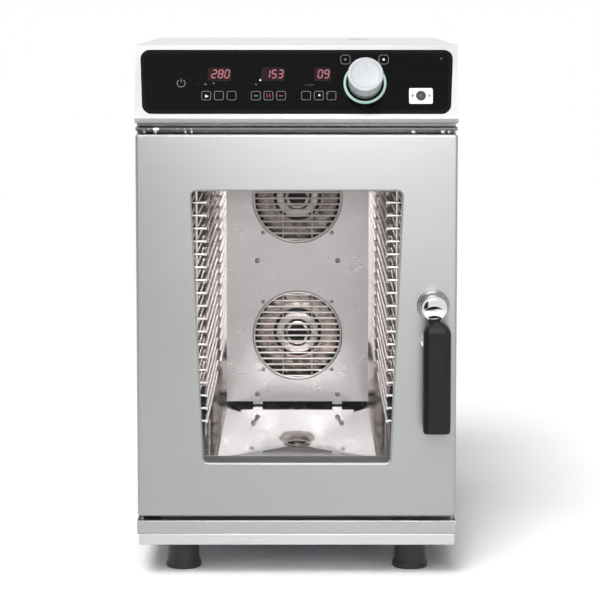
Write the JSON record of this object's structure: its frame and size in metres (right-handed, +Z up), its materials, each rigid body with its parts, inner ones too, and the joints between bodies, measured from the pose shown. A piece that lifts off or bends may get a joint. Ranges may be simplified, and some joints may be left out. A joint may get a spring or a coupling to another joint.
{
  "type": "combi steamer oven",
  "caption": "Compact countertop combi steamer oven with a glazed left-hung door, lever handle, sloping glass control panel and wire tray racks in a fan-blown chamber.",
  "frame": {"origin": "on the ground at the middle of the oven's overall width and depth, handle and rear fittings included", "axes": "+X to the right as seen from the front, +Y from the door to the rear, +Z up"},
  "size_m": [0.519, 0.861, 0.865],
  "materials": {
    "stainless": "brushed",
    "stainless_dark": "satin",
    "liner_steel": "polished",
    "black_glass": "glossy",
    "clear_glass": "clear",
    "black_plastic": "matte",
    "white_plastic": "satin",
    "light_ring": "translucent",
    "chrome": "polished",
    "rubber": "matte",
    "foot_black": "matte",
    "wool": "matte",
    "galvanised": "dull",
    "circuit_green": "satin",
    "lamp_white": "diffuse",
    "valve_blue": "satin",
    "heater_steel": "heat tinted"
  },
  "bodies": {
    "root": {"base_frame": "galvanised", "side_panel_left": "stainless", "side_panel_right": "stainless", "roof_panel": "stainless", "rear_panel": "stainless", "front_sill": "stainless", "front_frame": "stainless", "door_rail": "stainless_dark", "cavity": "liner_steel", "insulation": "wool", "service_deck": "galvanised", "rack_studs": "liner_steel", "fan_baffle": "liner_steel", "fan_guards": "liner_steel", "motor_bulkhead": "galvanised", "fan_motors": "black_plastic", "heaters": "heater_steel", "water_valve": "valve_blue", "steam_pipes": "liner_steel", "drain_pipe": "galvanised", "vent_duct": "liner_steel", "vent_actuator": "black_plastic", "cooling_fan_frame": "black_plastic", "power_board": "circuit_green", "cable_gland": "black_plastic", "fascia": "stainless", "control_glass": "black_glass", "glass_carrier": "black_plastic", "control_board": "circuit_green", "knob_light_ring": "light_ring", "probe_socket": "white_plastic", "hinge_brackets": "stainless_dark", "hinge_pins": "stainless_dark", "door_gasket": "rubber", "case_screws": "stainless"},
    "foot_fl": {"foot_front_left": "foot_black"},
    "foot_fr": {"foot_front_right": "foot_black"},
    "foot_rl": {"foot_rear_left": "foot_black"},
    "foot_rr": {"foot_rear_right": "foot_black"},
    "drip_tray": {"drip_tray": "stainless"},
    "rack_left": {"rack_left": "liner_steel"},
    "rack_right": {"rack_right": "liner_steel"},
    "fan_upper": {"fan_wheel_upper": "liner_steel"},
    "fan_lower": {"fan_wheel_lower": "liner_steel"},
    "strainer": {"drain_strainer": "liner_steel"},
    "vent_flap": {"vent_flap": "galvanised"},
    "cooling_rotor": {"cooling_rotor": "black_plastic"},
    "encoder": {"encoder_shaft": "liner_steel"},
    "knob": {"knob": "white_plastic"},
    "door": {"door_shell": "stainless", "door_liner": "stainless", "outer_glass": "clear_glass", "inner_glass": "clear_glass", "door_lamps": "lamp_white", "handle_base": "stainless"},
    "clip_upper": {"glass_clip_upper": "stainless_dark"},
    "clip_lower": {"glass_clip_lower": "stainless_dark"},
    "handle": {"handle_hub": "chrome", "handle_grip": "black_plastic", "latch_hook": "stainless_dark"}
  },
  "joints": [
    {"name": "foot_fl_screw", "type": "slide", "parent": "root", "child": "foot_fl", "axis": [0, 0, 1], "range_m": [-0.015, 0]},
    {"name": "foot_fr_screw", "type": "slide", "parent": "root", "child": "foot_fr", "axis": [0, 0, 1], "range_m": [-0.015, 0]},
    {"name": "foot_rl_screw", "type": "slide", "parent": "root", "child": "foot_rl", "axis": [0, 0, 1], "range_m": [-0.015, 0]},
    {"name": "foot_rr_screw", "type": "slide", "parent": "root", "child": "foot_rr", "axis": [0, 0, 1], "range_m": [-0.015, 0]},
    {"name": "tray_pull", "type": "slide", "parent": "root", "child": "drip_tray", "axis": [0, -1, 0], "range_m": [0, 0.062]},
    {"name": "rack_left_lift", "type": "slide", "parent": "root", "child": "rack_left", "axis": [0, 0, 1], "range_m": [0, 0.014]},
    {"name": "rack_right_lift", "type": "slide", "parent": "root", "child": "rack_right", "axis": [0, 0, 1], "range_m": [0, 0.014]},
    {"name": "fan_upper_spin", "type": "hinge", "parent": "root", "child": "fan_upper", "pos_m": [0, 0.2815, 0.56925], "axis": [0, 1, 0], "continuous": true},
    {"name": "fan_lower_spin", "type": "hinge", "parent": "root", "child": "fan_lower", "pos_m": [0, 0.2815, 0.31175], "axis": [0, 1, 0], "continuous": true},
    {"name": "strainer_lift", "type": "slide", "parent": "root", "child": "strainer", "axis": [0, 0, 1], "range_m": [0, 0.03]},
    {"name": "vent_flap_turn", "type": "hinge", "parent": "root", "child": "vent_flap", "pos_m": [0.11, 0.2395, 0.7751], "axis": [1, 0, 0], "range_deg": [0, 90]},
    {"name": "cooling_fan_spin", "type": "hinge", "parent": "root", "child": "cooling_rotor", "pos_m": [-0.15, 0.397, 0.803], "axis": [0, 1, 0], "continuous": true},
    {"name": "knob_push", "type": "slide", "parent": "root", "child": "encoder", "axis": [0, 0.9323, -0.3617], "range_m": [0, 0.0008], "stiffness_N_per_m": 2000, "springref_m": -0.001},
    {"name": "knob_turn", "type": "hinge", "parent": "encoder", "child": "knob", "pos_m": [0.1096, -0.35123, 0.80382], "axis": [0, -0.9323, 0.3617], "continuous": true},
    {"name": "door_swing", "type": "hinge", "parent": "root", "child": "door", "pos_m": [-0.24435, -0.3365, 0.413], "axis": [0, 0, -1], "range_deg": [0, 120]},
    {"name": "handle_turn", "type": "hinge", "parent": "door", "child": "handle", "pos_m": [0.22, -0.3725, 0.447], "axis": [0, 1, 0], "range_deg": [0, 90]},
    {"name": "clip_upper_turn", "type": "hinge", "parent": "door", "child": "clip_upper", "pos_m": [0.191, -0.3165, 0.6], "axis": [0, 1, 0], "range_deg": [0, 90]},
    {"name": "clip_lower_turn", "type": "hinge", "parent": "door", "child": "clip_lower", "pos_m": [0.191, -0.3165, 0.255], "axis": [0, 1, 0], "range_deg": [-90, 0]}
  ]
}
